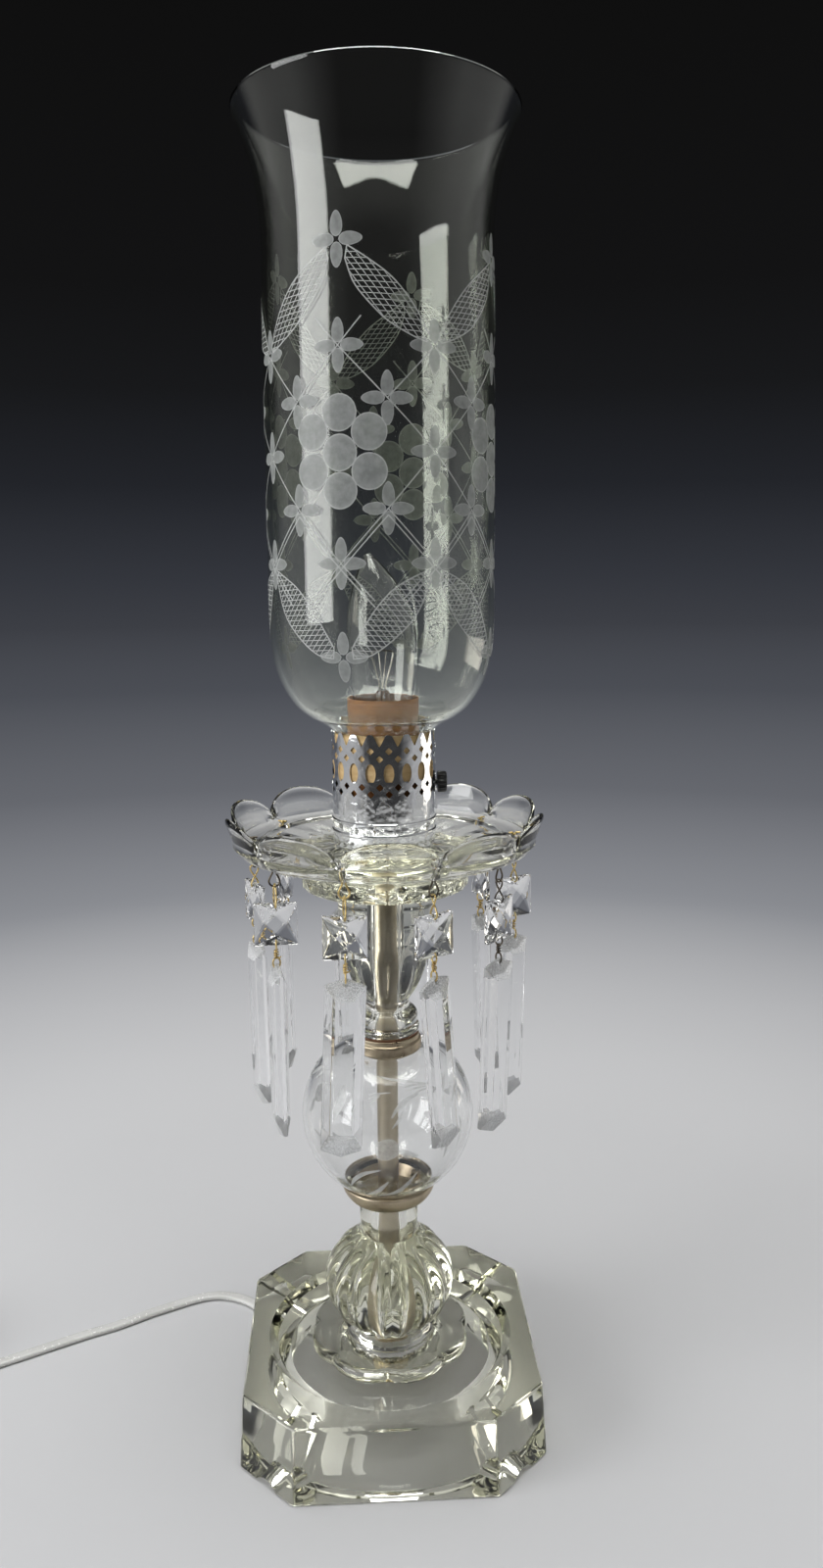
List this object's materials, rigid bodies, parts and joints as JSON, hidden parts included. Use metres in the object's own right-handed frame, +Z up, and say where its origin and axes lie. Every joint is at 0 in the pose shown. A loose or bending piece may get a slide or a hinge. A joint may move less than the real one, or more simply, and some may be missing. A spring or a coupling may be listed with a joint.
{
  "type": "table lamp",
  "caption": "Glass table lamp with an octagonal base, ribbed pedestal, globe and stem, a scalloped dish hung with prisms, and a tall etched hurricane shade.",
  "frame": {"origin": "centre of the base's underside, on the lamp pipe's axis", "axes": "+Z up along the lamp pipe, -Y towards the front, the switch knob points along +X"},
  "size_m": [0.3852, 0.1728, 0.5639],
  "materials": {
    "clear_glass": "polished pressed glass, faint straw green in the thick edges",
    "shade_glass": "clear blown glass, wheel-etched leaf bands, flowers and dots",
    "cut_crystal": "clear cut crystal",
    "bulb_glass": "thin clear glass",
    "chrome": "bright plated, pierced",
    "aged_brass": "aged, dull",
    "bronze": "dark aged bronze tone",
    "wire": "thin bent wire",
    "nickel": "plated sheet",
    "card_tan": "pale pressed card",
    "card_brown": "brown insulating card",
    "black_moulding": "moulded, glossy",
    "cord_clear": "translucent flexible plastic",
    "tie_black": "matt strap"
  },
  "bodies": {
    "lamp": {"base": "clear_glass", "pedestal": "clear_glass", "cup_ring": "bronze", "globe": "shade_glass", "check_disc": "bronze", "stem": "clear_glass", "bobeche": "clear_glass", "lamp_pipe": "aged_brass", "pipe_nuts": "aged_brass", "base_washer": "bronze", "foot_collar": "aged_brass", "gallery": "chrome", "shade_shim": "card_tan", "socket_cap": "aged_brass", "socket_body": "black_moulding", "socket_contacts": "aged_brass", "socket_liner": "card_brown", "hooks": "wire", "cord_run": "cord_clear", "cord_coil": "cord_clear", "plug_body": "cord_clear", "plug_blades": "aged_brass", "cord_grommet": "cord_clear", "inner_lead": "cord_clear", "cord_tie": "tie_black"},
    "knob": {"switch_knob": "black_moulding"},
    "shade": {"shade": "shade_glass"},
    "bulb": {"bulb_glass": "bulb_glass", "bulb_cap": "nickel", "bulb_mount": "bulb_glass"},
    "jewel_0": {"links_0": "wire", "jewel_0": "cut_crystal"},
    "prism_0": {"prism_0": "cut_crystal"},
    "jewel_1": {"links_1": "wire", "jewel_1": "cut_crystal"},
    "prism_1": {"prism_1": "cut_crystal"},
    "jewel_2": {"links_2": "wire", "jewel_2": "cut_crystal"},
    "prism_2": {"prism_2": "cut_crystal"},
    "jewel_3": {"links_3": "wire", "jewel_3": "cut_crystal"},
    "prism_3": {"prism_3": "cut_crystal"},
    "jewel_4": {"links_4": "wire", "jewel_4": "cut_crystal"},
    "prism_4": {"prism_4": "cut_crystal"},
    "jewel_5": {"links_5": "wire", "jewel_5": "cut_crystal"},
    "prism_5": {"prism_5": "cut_crystal"},
    "jewel_6": {"links_6": "wire", "jewel_6": "cut_crystal"},
    "prism_6": {"prism_6": "cut_crystal"},
    "jewel_7": {"links_7": "wire", "jewel_7": "cut_crystal"},
    "prism_7": {"prism_7": "cut_crystal"},
    "jewel_8": {"links_8": "wire", "jewel_8": "cut_crystal"},
    "prism_8": {"prism_8": "cut_crystal"},
    "jewel_9": {"links_9": "wire", "jewel_9": "cut_crystal"},
    "prism_9": {"prism_9": "cut_crystal"}
  },
  "joints": [
    {"name": "knob_turn", "type": "hinge", "parent": "lamp", "child": "knob", "pos_m": [0.022, 0, 0.296], "axis": [1, 0, 0], "continuous": true},
    {"name": "shade_lift", "type": "slide", "parent": "lamp", "child": "shade", "axis": [0, 0, 1], "range_m": [0, 0.12]},
    {"name": "bulb_unscrew", "type": "slide", "parent": "lamp", "child": "bulb", "axis": [0, 0, 1], "range_m": [0, 0.022]},
    {"name": "jewel_swing_0", "type": "hinge", "parent": "lamp", "child": "jewel_0", "pos_m": [0.01761, -0.05421, 0.25951], "axis": [-0.8572, -0.515, 0], "range_deg": [-4, 20]},
    {"name": "prism_swing_0", "type": "hinge", "parent": "jewel_0", "child": "prism_0", "pos_m": [0.01761, -0.05421, 0.22691], "axis": [-0.6947, -0.7193, 0], "range_deg": [-4, 25]},
    {"name": "jewel_swing_1", "type": "hinge", "parent": "lamp", "child": "jewel_1", "pos_m": [0.04611, -0.0335, 0.25951], "axis": [-0.6691, -0.7431, 0], "range_deg": [-4, 20]},
    {"name": "prism_swing_1", "type": "hinge", "parent": "jewel_1", "child": "prism_1", "pos_m": [0.04611, -0.0335, 0.22691], "axis": [-0.7431, -0.6691, 0], "range_deg": [-4, 25]},
    {"name": "jewel_swing_2", "type": "hinge", "parent": "lamp", "child": "jewel_2", "pos_m": [0.057, 0, 0.25951], "axis": [-0.8746, -0.4848, 0], "range_deg": [-4, 20]},
    {"name": "prism_swing_2", "type": "hinge", "parent": "jewel_2", "child": "prism_2", "pos_m": [0.057, 0, 0.22691], "axis": [-0.7431, -0.6691, 0], "range_deg": [-4, 25]},
    {"name": "jewel_swing_3", "type": "hinge", "parent": "lamp", "child": "jewel_3", "pos_m": [0.04611, 0.0335, 0.25951], "axis": [0.2756, -0.9613, 0], "range_deg": [-4, 20]},
    {"name": "prism_swing_3", "type": "hinge", "parent": "jewel_3", "child": "prism_3", "pos_m": [0.04611, 0.0335, 0.22691], "axis": [0.3256, -0.9455, 0], "range_deg": [-4, 25]},
    {"name": "jewel_swing_4", "type": "hinge", "parent": "lamp", "child": "jewel_4", "pos_m": [0.01761, 0.05421, 0.25951], "axis": [0.9945, -0.1045, 0], "range_deg": [-4, 20]},
    {"name": "prism_swing_4", "type": "hinge", "parent": "jewel_4", "child": "prism_4", "pos_m": [0.01761, 0.05421, 0.22691], "axis": [0.788, -0.6157, 0], "range_deg": [-4, 25]},
    {"name": "jewel_swing_5", "type": "hinge", "parent": "lamp", "child": "jewel_5", "pos_m": [-0.01761, 0.05421, 0.25951], "axis": [0.9986, 0.0523, 0], "range_deg": [-4, 20]},
    {"name": "prism_swing_5", "type": "hinge", "parent": "jewel_5", "child": "prism_5", "pos_m": [-0.01761, 0.05421, 0.22691], "axis": [0.7314, 0.682, 0], "range_deg": [-4, 25]},
    {"name": "jewel_swing_6", "type": "hinge", "parent": "lamp", "child": "jewel_6", "pos_m": [-0.04611, 0.0335, 0.25951], "axis": [0.2756, 0.9613, 0], "range_deg": [-4, 20]},
    {"name": "prism_swing_6", "type": "hinge", "parent": "jewel_6", "child": "prism_6", "pos_m": [-0.04611, 0.0335, 0.22691], "axis": [0.1045, 0.9945, 0], "range_deg": [-4, 25]},
    {"name": "jewel_swing_7", "type": "hinge", "parent": "lamp", "child": "jewel_7", "pos_m": [-0.057, 0, 0.25951], "axis": [-0.4695, 0.8829, 0], "range_deg": [-4, 20]},
    {"name": "prism_swing_7", "type": "hinge", "parent": "jewel_7", "child": "prism_7", "pos_m": [-0.057, 0, 0.22691], "axis": [-0.4226, 0.9063, 0], "range_deg": [-4, 25]},
    {"name": "jewel_swing_8", "type": "hinge", "parent": "lamp", "child": "jewel_8", "pos_m": [-0.04611, -0.0335, 0.25951], "axis": [-0.9976, -0.0698, 0], "range_deg": [-4, 20]},
    {"name": "prism_swing_8", "type": "hinge", "parent": "jewel_8", "child": "prism_8", "pos_m": [-0.04611, -0.0335, 0.22691], "axis": [-0.2756, 0.9613, 0], "range_deg": [-4, 25]},
    {"name": "jewel_swing_9", "type": "hinge", "parent": "lamp", "child": "jewel_9", "pos_m": [-0.01761, -0.05421, 0.25951], "axis": [-1, 0, 0], "range_deg": [-4, 20]},
    {"name": "prism_swing_9", "type": "hinge", "parent": "jewel_9", "child": "prism_9", "pos_m": [-0.01761, -0.05421, 0.22691], "axis": [-1, 0, 0], "range_deg": [-4, 25]}
  ]
}
